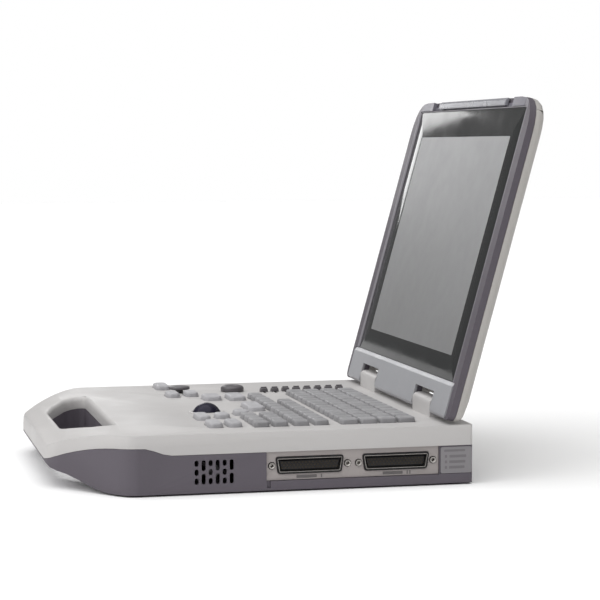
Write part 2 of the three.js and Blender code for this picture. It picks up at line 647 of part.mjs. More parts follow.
function fan() {
  const { centreX, halfSize, depth, bore, hub } = FAN;
  const [y, z] = [VENT.centreY, VENT.centreZ];
  const square = box(centreX - depth / 2, centreX + depth / 2, y - halfSize, y + halfSize, z - halfSize, z + halfSize);
  const throat = cylinder(bore, depth + 2, 24, 'x', centreX, y, z);
  const back = centreX - depth / 2;
  const spokes = range(0, 3).map((i) => {
    const spoke = new THREE.BoxGeometry(1.2, 2, bore + 0.6);
    spoke.translate(0, 0, (bore + 0.6) / 2);
    spoke.rotateX((i * 2 * Math.PI) / 3);
    spoke.translate(back + 0.6, y, z);
    return solid(spoke);
  });
  const mount = cylinder(hub, 1.2, 16, 'x', back + 0.6, y, z);
  const frame = union([square.subtract(throat), mount, ...spokes]);
  const rotorHub = cylinder(hub + 0.4, depth - 2.4, 16, 'x', centreX + 0.9, y, z);
  const blades = range(0, 7).map((i) => {
    const blade = new THREE.BoxGeometry(depth - 3.6, 0.8, bore - 0.9 - hub);
    blade.rotateZ(0.6);
    blade.translate(0, 0, hub + (bore - 0.9 - hub) / 2);
    blade.rotateX((i * 2 * Math.PI) / 7);
    blade.translate(centreX + 0.9, y, z);
    return solid(blade);
  });
  return [
    mesh('fan_frame', frame, blackPlastic()),
    mesh('fan_rotor', union([rotorHub, ...blades]), darkPlastic()),
  ];
}

// ---------------------------------------------------------------- inside the base

function mainBoard() {
  const plate = box(-26, 138, -185, -28, 9, 10.6);
  const chips = [[20, -60], [20, -110], [70, -85], [70, -140], [110, -60]].map(([x, y]) => box(
    x - 13, x + 13, y - 13, y + 13, 10.3, 13));
  const receptacles = SOCKET.ys.map((y) => box(126, 137, y - 26, y + 26, 10.3, 27));
  return mesh('main_board', union([plate, ...chips, ...receptacles]), board());
}

function batteryPack() {
  return mesh('battery_pack', roundedKey(-92, -122, 110, 120, 5, 5, 26), shrinkWrap());
}

function powerInlet() {
  const barrel = cylinder(INLET.outer, INLET.depth, 20, 'y', INLET.x, -0.2 - INLET.depth / 2, INLET.z);
  const bore = cylinder(INLET.bore, 20, 20, 'y', INLET.x, 0, INLET.z);
  return mesh('power_inlet', barrel.subtract(bore), blackPlastic());
}

// ---------------------------------------------------------------- hinge

// Fixed friction clip inside each tower: a barrel round the shaft on a leg into the base.
function hingeBrackets() {
  const barrelRadius = TOWER.aboveAxis - TOWER.wall - GAP;
  return SIDES.map(([name, side]) => {
    const [x0, x1] = spanX(side, TOWER.innerX + 12, TOWER.outerX - 12);
    const centre = (x0 + x1) / 2;
    const barrel = cylinder(barrelRadius, x1 - x0, 20, 'x', centre, PIVOT.y, PIVOT.z);
    const leg = box(x0, x1, PIVOT.y - 2.5, PIVOT.y + 2.5, 30, PIVOT.z - 2);
    const foot = box(x0 - 3, x1 + 3, PIVOT.y - 8, PIVOT.y + 8, 28, 31);
    const bore = cylinder(SHAFT.radius + 0.08, 60, 20, 'x', centre, PIVOT.y, PIVOT.z);
    return mesh(`hinge_bracket_${name}`, cut(union([barrel, leg, foot]), [bore]), steel());
  });
}

// Shafts that turn with the lid, each reaching past both sides of its tower.
function hingeShafts() {
  return SIDES.map(([name, side]) => {
    const [x0, x1] = spanX(side, TOWER.innerX - SHAFT.reach, TOWER.outerX + SHAFT.reach);
    const geometry = new THREE.CylinderGeometry(SHAFT.radius, SHAFT.radius, x1 - x0, 20);
    geometry.rotateZ(-Math.PI / 2);
    geometry.translate((x0 + x1) / 2, 0, 0);
    return mesh(`hinge_shaft_${name}`, solid(geometry), steel());
  });
}

// ---------------------------------------------------------------- lid, drawn in its own frame

// Lid frame: X across, Z up the lid from the hinge axis, -Y out of the screen.
const lidZ = (s) => s - LID.axisS;
const lidY = (n) => LID.axisN - n;

function lidBox(x0, x1, n0, n1, s0, s1) {
  return box(x0, x1, lidY(n1), lidY(n0), lidZ(s0), lidZ(s1));
}

// A plate with a front outline in (x, s), from n0 at the back to n1 at the front.
function lidPlate(corners, n0, n1, curveSegments) {
  return prismY(rounded(corners.map(([x, s, r]) => [x, lidZ(s), r])), lidY(n1), lidY(n0), curveSegments);
}

// A section in (n, s) that runs across the lid.
function lidSection(points, x0, x1) {
  return prismX(polygon(points.map(([n, s]) => [lidY(n), lidZ(s)])), x0, x1);
}

const lidOutline = mirrored([
  [LID.halfWidth, LID.bottomS, LID.cornerBottom],
  [LID.halfWidth, LID.topS, LID.cornerTop],
]);

// Room for the towers: lower at the back of the lid, where they never reach so high.
function hingeNotches() {
  return SIDES.map(([, side]) => lidSection([
    [20, -20], [20, NOTCH.topS], [NOTCH.midN, NOTCH.topS], [NOTCH.midN, NOTCH.midTopS],
    [NOTCH.backN, NOTCH.midTopS], [NOTCH.backN, NOTCH.backTopS], [-40, NOTCH.backTopS], [-40, -20],
  ], ...spanX(side, NOTCH.innerX, NOTCH.outerX)));
}

function shaftSockets() {
  return SIDES.map(([, side]) => {
    const [x0, x1] = spanX(side, TOWER.innerX - SHAFT.reach - GAP, TOWER.outerX + SHAFT.reach + GAP);
    return cylinder(SHAFT.radius + GAP, x1 - x0, 20, 'x', (x0 + x1) / 2, 0, 0);
  });
}

function lidBezel() {
  const frame = lidPlate(lidOutline, LID.bezelBackN, LID.rimN, 6);
  const window = lidBox(
    -GLASS.halfWidth - GAP, GLASS.halfWidth + GAP, -20, 20, GLASS.bottomS - GAP, GLASS.topS + GAP);
  const lip = 1.6;
  const chamfer = lidSection([
    [LID.rimN + 1, GLASS.bottomS - 5], [LID.rimN + 1, GLASS.topS + GAP + lip + 1.6],
    [LID.rimN - 1, GLASS.topS + GAP], [LID.rimN - 1, GLASS.bottomS - 5],
  ], -GLASS.halfWidth - GAP, GLASS.halfWidth + GAP);
  const sideChamfers = SIDES.map(([, side]) => {
    const edge = side * (GLASS.halfWidth + GAP);
    const shape = polygon([
      [edge - side, lidY(LID.rimN - 1)], [edge, lidY(LID.rimN - 1)],
      [edge + side * (lip + 1.6), lidY(LID.rimN + 1)], [edge - side, lidY(LID.rimN + 1)],
    ]);
    return prismZ(shape, lidZ(GLASS.bottomS - 5), lidZ(GLASS.topS + GAP));
  });
  const coverSeat = lidBox(
    -COVER.halfWidth - GAP, COVER.halfWidth + GAP, COVER.backN - GAP, 20, -20, COVER.topS + GAP);
  const latchSeat = lidBox(
    -LATCH.halfFrame - GAP, LATCH.halfFrame + GAP, LATCH.floorN - GAP, 20, LATCH.bottomS - GAP, 300);
  const body = cut(frame, [
    window, chamfer, ...sideChamfers, coverSeat, latchSeat, ...hingeNotches(), ...shaftSockets()]);
  return mesh('lid_bezel', body, greyPlastic());
}

function lidBackCover() {
  const edge = 6;
  const backOutline = inset(lidOutline, edge);
  const geometry = new THREE.ExtrudeGeometry(
    rounded(backOutline.map(([x, s, r]) => [x, lidZ(s), r])),
    {
      depth: 20, bevelEnabled: true, bevelThickness: edge, bevelSize: edge, bevelSegments: 4, curveSegments: 6,
    });
  geometry.rotateX(Math.PI / 2);
  geometry.translate(0, lidY(LID.shellBackN) - edge, 0);
  const block = solid(geometry);
  const plateau = lidPlate(inset(lidOutline, 17), LID.plateauN, LID.shellBackN + 1);
  const section = lidSection([
    [LID.bezelBackN - GAP, LID.bottomS - 1], [LID.bezelBackN - 1, LID.bottomS - 1], [-10.4, 8], [-11.6, 17],
    [LID.shellBackN, 25], [-30, 26], [-30, 280], [LID.bezelBackN - GAP, 280],
  ], -200, 200);
  const skin = 2.4;
  const hollow = lidBox(-154, 154, LID.shellBackN + skin, 0, 30, 262);
  const body = cut(union([block.intersect(section), plateau]), [
    hollow, ...hingeNotches(), ...shaftSockets()]);
  return mesh('lid_back_cover', body, lidPlastic());
}

function hingeCover() {
  const section = lidSection([
    [COVER.backN, LID.bottomS + 0.4], [COVER.frontN - 1.4, LID.bottomS + 0.8], [COVER.frontN, LID.bottomS + 2.6],
    [COVER.frontN, COVER.topS - COVER.bevel], [COVER.backN + 0.4, COVER.topS], [COVER.backN, COVER.topS],
  ], -200, 200);
  const plan = lidPlate(mirrored([
    [COVER.halfWidth, LID.bottomS + 0.6, 5], [COVER.halfWidth, COVER.topS + 5, 0],
  ]), -20, 20);
  return mesh('hinge_cover', cut(section.intersect(plan), [...hingeNotches(), ...shaftSockets()]), silverPlastic());
}

function screen() {
  const pane = lidBox(-GLASS.halfWidth, GLASS.halfWidth, -GLASS.thickness, 0, GLASS.bottomS, GLASS.topS);
  const panel = lidBox(
    -SCREEN.halfWidth, SCREEN.halfWidth, SCREEN.backN, -GLASS.thickness - GAP, SCREEN.bottomS, SCREEN.topS);
  return [mesh('screen_glass', pane, glass()), mesh('lcd_panel', panel, display())];
}

// The latch frame is a strip with a block at each end, and the sprung bar sits between them.
function latch() {
  const { halfBar, halfRecess, halfFrame, bottomS, barBottomS, barTopS, barBackN, barFrontN, floorN } = LATCH;
  const top = LID.topS - 0.5;
  const strip = lidBox(-halfFrame, halfFrame, floorN, floorN + 0.8, bottomS, bottomS + 4);
  const ends = SIDES.map(([, side]) => lidBox(
    ...spanX(side, halfRecess, halfFrame), floorN, LID.rimN + 0.2, bottomS, top));
  const plan = lidPlate(inset(lidOutline, 0.6), -20, 20, 6);
  const frame = union([strip, ...ends]).intersect(plan);
  const bar = lidSection([
    [barBackN, barBottomS], [barFrontN - 0.6, barBottomS], [barFrontN, barBottomS + 0.6],
    [barFrontN, barTopS - 2.2], [barFrontN - 1.6, barTopS], [barBackN, barTopS],
  ], -halfBar, halfBar);
  return [mesh('latch_frame', frame, silverPlastic()), mesh('latch_bar', bar, latchPlastic())];
}

// ---------------------------------------------------------------- assembly

const lid = new THREE.Group();
lid.add(lidBezel(), lidBackCover(), hingeCover(), ...screen(), ...latch(), ...hingeShafts());
lid.position.set(0, PIVOT.y, PIVOT.z);
lid.rotation.x = -LID_TILT;

const group = new THREE.Group();
group.add(
  topCase(), bottomCase(), ...feet(), keyMat('keyboard_mat', REAR_ROWS, KEY.size),
  keyMat('control_mat', FRONT_ROWS, FRONT_KEY_DEPTH), ...functionKeys(), ...trackball(), ...sliders(),
  sliderBank(), ...knobs(), keyBoard(), probePanel(), ...probeSockets(), ...jackScrews(), ratingLabel(),
  ...fan(), mainBoard(), batteryPack(), powerInlet(), ...hingeBrackets(), lid,
);

// The origin goes under the middle of the bounding box.
const bounds = new THREE.Box3().setFromObject(group);
const middle = bounds.getCenter(new THREE.Vector3());
group.position.set(-middle.x, -middle.y, -bounds.min.z);

export default group;
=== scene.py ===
# Look of a laptop-style veterinary ultrasound scanner with its lid open, on a pale floor.
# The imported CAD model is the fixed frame. Hard shells keep their CAD shape and get softened edges
# and moulded-plastic materials; the deck shell is a copy with rolled rims round its handle. Keys,
# knobs, ball, glass, sockets, label, inlet and feet are modelled here.
import json
import math

import bmesh
import bpy
from mathutils import Matrix, Vector


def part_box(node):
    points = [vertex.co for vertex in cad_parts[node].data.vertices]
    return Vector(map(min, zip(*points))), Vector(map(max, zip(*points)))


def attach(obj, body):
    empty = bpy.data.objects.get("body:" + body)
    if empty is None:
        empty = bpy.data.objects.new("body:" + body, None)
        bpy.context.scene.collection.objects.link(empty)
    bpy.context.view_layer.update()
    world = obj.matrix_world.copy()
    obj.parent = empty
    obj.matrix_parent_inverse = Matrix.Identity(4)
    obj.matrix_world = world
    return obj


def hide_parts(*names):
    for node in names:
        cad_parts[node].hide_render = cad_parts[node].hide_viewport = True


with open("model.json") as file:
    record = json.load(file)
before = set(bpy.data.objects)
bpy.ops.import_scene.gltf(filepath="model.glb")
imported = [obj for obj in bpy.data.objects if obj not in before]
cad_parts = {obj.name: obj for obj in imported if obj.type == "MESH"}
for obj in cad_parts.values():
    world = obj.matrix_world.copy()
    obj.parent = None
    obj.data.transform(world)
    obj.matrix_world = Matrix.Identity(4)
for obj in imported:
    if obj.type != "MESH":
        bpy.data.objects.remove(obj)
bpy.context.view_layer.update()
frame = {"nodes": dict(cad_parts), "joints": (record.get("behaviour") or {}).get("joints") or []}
nodes = frame["nodes"]
joints = {j["name"]: j for j in frame["joints"]}

MM = 0.001

# The rear face of the base is y = 0 in the drawing's millimetres; Z = 0 is the table.
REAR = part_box("bottom_case")[1].y
DECK = 47.7
PIVOT = Vector(joints["lid_tilt"]["pos_m"])
TILT = math.radians(15.5)
UP_LID = Vector((0, math.sin(TILT), math.cos(TILT)))
OUT_OF_GLASS = Vector((0, -math.cos(TILT), math.sin(TILT)))
AXIS_UP_LID, AXIS_BEHIND_GLASS = 13, 4.6


def at(x, y, z):
    """A point of the base, in the drawing's millimetres."""
    return Vector((x * MM, y * MM + REAR, z * MM))


def on_lid(x, s, n):
    """A point of the lid: x across, s up the lid, n in front of the glass."""
    up = UP_LID * ((s - AXIS_UP_LID) * MM)
    return PIVOT + Vector((x * MM, 0, 0)) + up + OUT_OF_GLASS * ((n + AXIS_BEHIND_GLASS) * MM)


def on_side(y, z, x):
    """A point of the right-hand side, seen from outside: y along it, z up, x outward."""
    return at(x, y, z)


def plan_centre(node):
    """The middle of a CAD node in plan, in the drawing's millimetres."""
    low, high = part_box(node)
    return (low.x + high.x) / 2 / MM, ((low.y + high.y) / 2 - REAR) / MM


def side_centre(node):
    """The middle of a CAD node as (y, z), in the drawing's millimetres."""
    low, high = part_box(node)
    return ((low.y + high.y) / 2 - REAR) / MM, (low.z + high.z) / 2 / MM


# The cover glass and the window printed in it: half width across, low and high up the lid.
GLASS_X, GLASS_LOW, GLASS_HIGH = 145.0, 34.0, 262.3
WINDOW_X, WINDOW_LOW, WINDOW_HIGH = 123.0, 54.0, 238.5
# Across the bezel's front face, the painted highlight beside the glass fades into the shell's own
# colour between these two places.
RIM_HIGHLIGHT_X, RIM_DARK_X = 147.6, 149.6
# Polygons no deeper than this behind the glass face count as the bezel's front and get its painted
# highlight.
RIM_DEPTH = 1.4

# ---------------------------------------------------------------- materials


class Nodes:
    """A small helper round one material's node tree."""

    def __init__(self, name):
        self.material = bpy.data.materials.new(name)
        self.material.use_nodes = True
        self.tree = self.material.node_tree
        self.shader = self.tree.nodes["Principled BSDF"]
        self.coords = self.new("ShaderNodeTexCoord").outputs["Object"]

    def new(self, kind, **values):
        node = self.tree.nodes.new(kind)
        for key, value in values.items():
            setattr(node, key, value)
        return node

    def link(self, out, into):
        self.tree.links.new(out, into)

    def noise(self, scale, detail=3.0, roughness=0.55, coords=None):
        node = self.new("ShaderNodeTexNoise")
        node.inputs["Scale"].default_value = scale
        node.inputs["Detail"].default_value = detail
        node.inputs["Roughness"].default_value = roughness
        self.link(coords or self.coords, node.inputs["Vector"])
        return node.outputs["Fac"]

    def spread(self, value, low, high, start=0.35, end=0.65):
        """Maps start..end of a value to low..high."""
        node = self.new("ShaderNodeMapRange")
        node.inputs["From Min"].default_value = start
        node.inputs["From Max"].default_value = end
        node.inputs["To Min"].default_value = low
        node.inputs["To Max"].default_value = high
        self.link(value, node.inputs["Value"])
        return node.outputs["Result"]

    def mix(self, factor, a, b):
        """Mixes two colours; each is a colour or a socket."""
        node = self.new("ShaderNodeMix", data_type="RGBA")
        if isinstance(factor, float):
            node.inputs["Factor"].default_value = factor
        else:
            self.link(factor, node.inputs["Factor"])
        for value, socket in ((a, node.inputs["A"]), (b, node.inputs["B"])):
            if isinstance(value, tuple):
                socket.default_value = (*value, 1.0)
            else:
                self.link(value, socket)
        return node.outputs["Result"]

    def bump(self, height, strength, distance):
        node = self.new("ShaderNodeBump")
        node.inputs["Strength"].default_value = strength
        node.inputs["Distance"].default_value = distance
        self.link(height, node.inputs["Height"])
        self.link(node.outputs["Normal"], self.shader.inputs["Normal"])
        return node

    def set(self, **values):
        for key, value in values.items():
            self.shader.inputs[key.replace("_", " ")].default_value = value


def shade(colour, factor):
    return tuple(min(1.0, c * factor) for c in colour)


def moulded(
    name, colour, roughness, grain=900.0, depth=0.00006, tint=0.05, wear=0.25, coat=0.0, specular=0.5
):
    """Moulded plastic: fine spark-eroded grain, slow colour drift, handled patches, worn edges."""
    n = Nodes(name)
    drift = n.spread(n.noise(9.0, 2.0), 0.0, 1.0)
    body = n.mix(drift, shade(colour, 1 - tint), shade(colour, 1 + tint))
    speckle = n.spread(n.noise(grain * 0.6, 2.0), 0.0, 0.35, 0.45, 0.75)
    body = n.mix(speckle, body, shade(colour, 1 - 1.6 * tint))
    edge = n.new("ShaderNodeNewGeometry").outputs["Pointiness"]
    body = n.mix(n.spread(edge, 0.0, wear, 0.53, 0.62), body, shade(colour, 1.3))
    n.link(body, n.shader.inputs["Base Color"])
    handled = n.spread(n.noise(28.0, 4.0), roughness - 0.07, roughness + 0.06)
    n.link(handled, n.shader.inputs["Roughness"])
    n.bump(n.noise(grain, 2.0, 0.6), 0.35, depth)
    n.set(Coat_Weight=coat, Coat_Roughness=0.2, Specular_IOR_Level=specular)
    return n.material


def silicone(name, colour):
    """Soft translucent key rubber with a dusty skin."""
    n = Nodes(name)
    body = n.mix(n.spread(n.noise(42.0, 2.0), 0.0, 1.0), shade(colour, 0.9), shade(colour, 1.08))
    n.link(body, n.shader.inputs["Base Color"])
    n.link(n.spread(n.noise(300.0), 0.42, 0.6), n.shader.inputs["Roughness"])
    n.bump(n.noise(1500.0, 2.0), 0.2, 0.00004)
    n.set(Subsurface_Weight=0.25, Subsurface_Radius=(1.0, 1.0, 1.0))
    n.set(Subsurface_Scale=0.002, Sheen_Weight=0.15)
    return n.material


def metal(name, colour, roughness, brushed=None):
    """Plated or turned steel with fine tool marks; brushed stretches them along one axis."""
    n = Nodes(name)
    stretch = n.new("ShaderNodeMapping")
    stretch.inputs["Scale"].default_value = brushed or (1.0, 1.0, 1.0)
    n.link(n.coords, stretch.inputs["Vector"])
    marks = n.noise(1400.0, 3.0, 0.6, stretch.outputs["Vector"])
    body = n.mix(n.spread(marks, 0.0, 1.0), shade(colour, 0.8), shade(colour, 1.1))
    n.link(body, n.shader.inputs["Base Color"])
    n.link(n.spread(n.noise(160.0), roughness - 0.08, roughness + 0.1), n.shader.inputs["Roughness"])
    n.bump(marks, 0.15, 0.00003)
    n.set(Metallic=1.0)
    return n.material


def polished(name, colour, roughness, coat=1.0, specular=0.5):
    """Polished plastic with faint swirls and finger haze."""
    n = Nodes(name)
    body = n.mix(n.spread(n.noise(35.0), 0.0, 1.0), shade(colour, 0.8), shade(colour, 1.25))
    n.link(body, n.shader.inputs["Base Color"])
    n.link(n.spread(n.noise(120.0, 4.0), roughness, roughness + 0.12), n.shader.inputs["Roughness"])
    n.bump(n.noise(700.0), 0.04, 0.00002)
    n.set(Coat_Weight=coat, Coat_Roughness=0.06, Specular_IOR_Level=specular)
    return n.material


def screen_window_painted_reflection(name):
    """The switched-off panel behind anti-glare glass, grey with a painted reflection that makes it
    paler at the top and darker below.
    """
    n = Nodes(name)
    place = n.new("ShaderNodeSeparateXYZ")
    n.link(n.coords, place.inputs["Vector"])
    low, high = on_lid(0, WINDOW_LOW, 0).z, on_lid(0, WINDOW_HIGH, 0).z
    # Painted reflection: the window's colour brightens from its bottom to its top.
    fade = n.spread(place.outputs["Z"], 0.0, 1.0, low, high)
    haze = n.mix(fade, (0.185, 0.185, 0.187), (0.31, 0.312, 0.318))
    clouds = n.spread(n.noise(7.0, 2.0), 0.0, 0.5)
    n.link(n.mix(clouds, haze, (0.235, 0.237, 0.242)), n.shader.inputs["Base Color"])
    n.link(n.spread(n.noise(60.0), 0.38, 0.46), n.shader.inputs["Roughness"])
    n.bump(n.noise(2200.0, 1.0), 0.08, 0.00002)
    n.set(Coat_Weight=0.35, Coat_Roughness=0.12)
    return n.material


def screen_border(name):
    """Black print behind glass, with dust and finger haze on its surface."""
    n = Nodes(name)
    dust = n.spread(n.noise(900.0, 2.0), 0.0, 0.12, 0.6, 0.85)
    n.link(n.mix(dust, (0.027, 0.028, 0.028), (0.2, 0.2, 0.2)), n.shader.inputs["Base Color"])
    n.link(n.spread(n.noise(25.0, 4.0), 0.06, 0.14), n.shader.inputs["Roughness"])
    n.bump(n.noise(1200.0), 0.02, 0.00002)
    n.set(IOR=1.45, Specular_IOR_Level=0.14, Coat_Weight=0.0)
    return n.material


def bezel_rim_painted_light(name, outer, inner):
    """Front face of the bezel: a painted highlight beside the glass, fading to the shell's own colour
    at its outer edge.
    """
    n = Nodes(name)
    place = n.new("ShaderNodeSeparateXYZ")
    n.link(n.coords, place.inputs["Vector"])
    away = n.new("ShaderNodeMath", operation="ABSOLUTE")
    n.link(place.outputs["X"], away.inputs[0])
    # Painted highlight: the lit colour near the glass fades into the shell's own grey further out in
    # x.
    fade = n.spread(away.outputs["Value"], 0.0, 1.0, RIM_HIGHLIGHT_X * MM, RIM_DARK_X * MM)
    body = n.mix(n.spread(n.noise(9.0, 2.0), 0.0, 1.0), shade(inner, 0.97), shade(inner, 1.03))
    n.link(n.mix(fade, body, outer), n.shader.inputs["Base Color"])
    n.link(n.spread(n.noise(28.0, 4.0), 0.36, 0.46), n.shader.inputs["Roughness"])
    n.bump(n.noise(900.0, 2.0, 0.6), 0.3, 0.00005)
    return n.material


def circuit(name, colour):
    """Solder resist with a pattern of tracks and pads."""
    n = Nodes(name)
    cells = n.new("ShaderNodeTexVoronoi", distance="CHEBYCHEV")
    cells.inputs["Scale"].default_value = 260.0
    n.link(n.coords, cells.inputs["Vector"])
    tracks = n.spread(cells.outputs["Distance"], 0.0, 1.0, 0.32, 0.36)
    n.link(n.mix(tracks, colour, shade(colour, 1.7)), n.shader.inputs["Base Color"])
    n.link(n.spread(n.noise(80.0), 0.3, 0.5), n.shader.inputs["Roughness"])
    n.bump(tracks, 0.2, 0.00005)
    return n.material


SHELL_GREY = (0.092, 0.081, 0.097)
WHITE = moulded("white_moulding", (0.475, 0.462, 0.456), 0.5, tint=0.012, wear=0.12)
LID_WHITE = moulded("lid_moulding", (0.415, 0.40, 0.38), 0.5, tint=0.015, wear=0.12)
GREY = moulded("grey_moulding", SHELL_GREY, 0.55, tint=0.04, wear=0.3, specular=0.4)
SILVER = moulded("silver_moulding", (0.33, 0.333, 0.35), 0.4, grain=1500.0, tint=0.03, coat=0.1)
PANEL = moulded("panel_plate", (0.325, 0.295, 0.288), 0.55, grain=700.0, tint=0.03)
LATCH = moulded("latch_moulding", (0.235, 0.235, 0.26), 0.3, grain=1600.0, tint=0.03, coat=0.4)
LATCH_FRAME = moulded(
    "latch_frame_moulding", (0.185, 0.178, 0.205), 0.4, grain=1500.0, tint=0.03, coat=0.1
)
DARK = moulded("dark_moulding", (0.085, 0.078, 0.085), 0.4, grain=1400.0, tint=0.08, coat=0.15)
BLACK = moulded("black_moulding", (0.012, 0.011, 0.012), 0.45, grain=1400.0, tint=0.1, specular=0.3)
RUBBER = moulded(
    "black_rubber", (0.028, 0.027, 0.028), 0.85, grain=600.0, depth=0.0001, tint=0.15, specular=0.25
)
KEY_GREY = silicone("key_silicone", (0.25, 0.246, 0.255))
KEY_PALE = silicone("key_pale_silicone", (0.37, 0.365, 0.38))
BALL = polished("ball_gloss", (0.006, 0.005, 0.018), 0.2, 0.0, 0.22)
WRAP = polished("shrink_wrap", (0.03, 0.06, 0.18), 0.3, 0.4)
STEEL = metal("plated_steel", (0.42, 0.40, 0.38), 0.34)
TURNED = metal("turned_steel", (0.55, 0.54, 0.52), 0.3, (12.0, 1.0, 1.0))
CONTACT = metal("dull_contact", (0.07, 0.055, 0.035), 0.45)
LABEL = moulded("label_film", (0.21, 0.2, 0.21), 0.45, grain=1800.0, tint=0.02, wear=0.0)
INK = moulded("label_ink", (0.15, 0.142, 0.15), 0.5, grain=1800.0, tint=0.05, wear=0.0)
MARK = moulded("panel_ink", (0.12, 0.11, 0.11), 0.5, grain=1800.0, tint=0.05, wear=0.0)
BOARD = circuit("circuit_board", (0.02, 0.11, 0.045))
WINDOW = screen_window_painted_reflection("screen_window_painted_reflection")
BORDER = screen_border("screen_border")
# The paler second colour is painted highlight on the same grey plastic as the shell.
RIM_PAINTED_LIGHT = bezel_rim_painted_light("bezel_rim_painted_light", SHELL_GREY, (0.21, 0.20, 0.22))

# ---------------------------------------------------------------- mesh helpers


def arc(count, start, end):
    return [start + (end - start) * i / count for i in range(count + 1)]


def rounded_rect(cx, cy, sx, sy, radius, steps=5):
    """Points of a rounded rectangle, anticlockwise."""
    radius = max(min(radius, sx / 2 - 0.01, sy / 2 - 0.01), 0.02)
    points = []
    for i, (a, b) in enumerate(((1, 1), (-1, 1), (-1, -1), (1, -1))):
        ox, oy = cx + a * (sx / 2 - radius), cy + b * (sy / 2 - radius)
        for t in arc(steps, i * 90, i * 90 + 90):
            angle = math.radians(t)
            points.append((ox + radius * math.cos(angle), oy + radius * math.sin(angle)))
    return points


def circle(cx, cy, radius, steps):
    angles = [2 * math.pi * i / steps for i in range(steps)]
    return [(cx + radius * math.cos(a), cy + radius * math.sin(a)) for a in angles]


def loft(bm, rings, slot=0, cap_start=True, cap_end=True):
    """Joins rings of points with the same count into a skin; a ring of one point closes a pole."""
    made = [[bm.verts.new(p) for p in ring] for ring in rings]
    faces = []
    for a, b in zip(made, made[1:]):
        count = max(len(a), len(b))
        for i in range(count):
            j = (i + 1) % count
            if len(b) == 1:
                faces.append(bm.faces.new((a[i], a[j], b[0])))
            elif len(a) == 1:
                faces.append(bm.faces.new((a[0], b[j], b[i])))
            else:
                faces.append(bm.faces.new((a[i], a[j], b[j], b[i])))
    if cap_start and len(made[0]) > 2:
        faces.append(bm.faces.new(made[0][::-1]))
    if cap_end and len(made[-1]) > 2:
        faces.append(bm.faces.new(made[-1]))
    for f in faces:
        f.material_index = slot


def pillow(bm, place, cx, cy, sx, sy, corner, z0, z1, edge, crown=0.0, taper=0.0, slot=0, steps=5):
    """A block with rounded plan corners, a rolled top edge and a slightly crowned or dished top."""
    rings = [(0.0, z0), (taper * 0.9, z1 - edge)]
    rings += [
        (taper + edge * (1 - math.cos(a)), z1 - edge + edge * math.sin(a))
        for a in arc(4, 0.0, math.pi / 2)[1:]
    ]
    reach = min(sx, sy) / 2 - taper - edge
    rings += [
        (taper + edge + reach * 0.35, z1 + crown * 0.6),
        (taper + edge + reach * 0.75, z1 + crown),
    ]
    skin = []
    for inset, z in rings:
        width, depth, radius = sx - 2 * inset, sy - 2 * inset, max(corner - inset, 0.05)
        skin.append([place(x, y, z) for x, y in rounded_rect(cx, cy, width, depth, radius, steps)])
    loft(bm, skin, slot)


def lathe(bm, place, cx, cy, profile, steps=48, slot=0):
    """Turns a profile of (radius, height) about the place's own third axis."""
    rings = []
    for radius, height in profile:
        if radius < 1e-6:
            rings.append([place(cx, cy, height)])
        else:
            rings.append([place(x, y, height) for x, y in circle(cx, cy, radius, steps)])
    loft(bm, rings, slot, cap_start=False, cap_end=False)


def finish_piece(name, bm, materials, body, stands_for=(), sharp=35.0):
    """Turns a bmesh into a named object that rides on a body."""
    bmesh.ops.recalc_face_normals(bm, faces=bm.faces)
    mesh = bpy.data.meshes.new(name)
    bm.to_mesh(mesh)
    bm.free()
    for material in materials:
        mesh.materials.append(material)
    mesh.shade_smooth()
    mesh.set_sharp_from_angle(angle=math.radians(sharp))
    obj = bpy.data.objects.new(name, mesh)
    bpy.context.scene.collection.objects.link(obj)
    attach(obj, body)
    if stands_for:
        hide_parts(*stands_for)
    return obj


WELD_DISTANCE = 1e-6
FLAT_ANGLE = math.radians(0.6)


def dress(name, material, edge=0.5, segments=2, angle=28.0):
    """Keeps a CAD node, gives it a material and softens its edges; edge 0 leaves them sharp."""
    obj = nodes[name]
    mesh = obj.data
    if "custom_normal" in mesh.attributes:
        mesh.attributes.remove(mesh.attributes["custom_normal"])
    mesh.materials.clear()
    mesh.materials.append(material)
    mesh.shade_smooth()
    weld = obj.modifiers.new("weld", "WELD")
    weld.merge_threshold = WELD_DISTANCE
    if not edge:
        split = obj.modifiers.new("split", "EDGE_SPLIT")
        split.split_angle = math.radians(angle)
        weighted = obj.modifiers.new("weighted", "WEIGHTED_NORMAL")
        weighted.weight = 100
        return obj
    flat = obj.modifiers.new("flatten", "DECIMATE")
    flat.decimate_type = "DISSOLVE"
    flat.angle_limit = FLAT_ANGLE
    bevel = obj.modifiers.new("bevel", "BEVEL")
    bevel.width = edge * MM
    bevel.segments = segments
    bevel.limit_method = "ANGLE"
    bevel.angle_limit = math.radians(angle)
    bevel.use_clamp_overlap = True
    bevel.harden_normals = True
    return obj


HANDLE_X, HANDLE_REAR, HANDLE_FRONT = 91.0, -279.0, -316.0
HANDLE_RIM, SHELL_EDGE = 4.0, 0.8
DECK_FALL_Y, DECK_FALL = -280.0, 200.0
NOSE_Y = -330.0
REACH = 0.5
SHARP_EDGE = math.radians(20)


def on_handle_rim(edge):
    """Whether an edge of the deck shell lies on the top rim of the handle's hole."""
    middle = (edge.verts[0].co + edge.verts[1].co) / 2
    x, y, z = abs(middle.x) / MM, (middle.y - REAR) / MM, middle.z / MM
    deck = DECK - max(0.0, DECK_FALL_Y - y) ** 2 / DECK_FALL
    if z < deck - 1.0 and y > NOSE_Y or z > DECK + 0.3:
        return False
    return x < HANDLE_X + REACH and HANDLE_FRONT - REACH < y < HANDLE_REAR + REACH


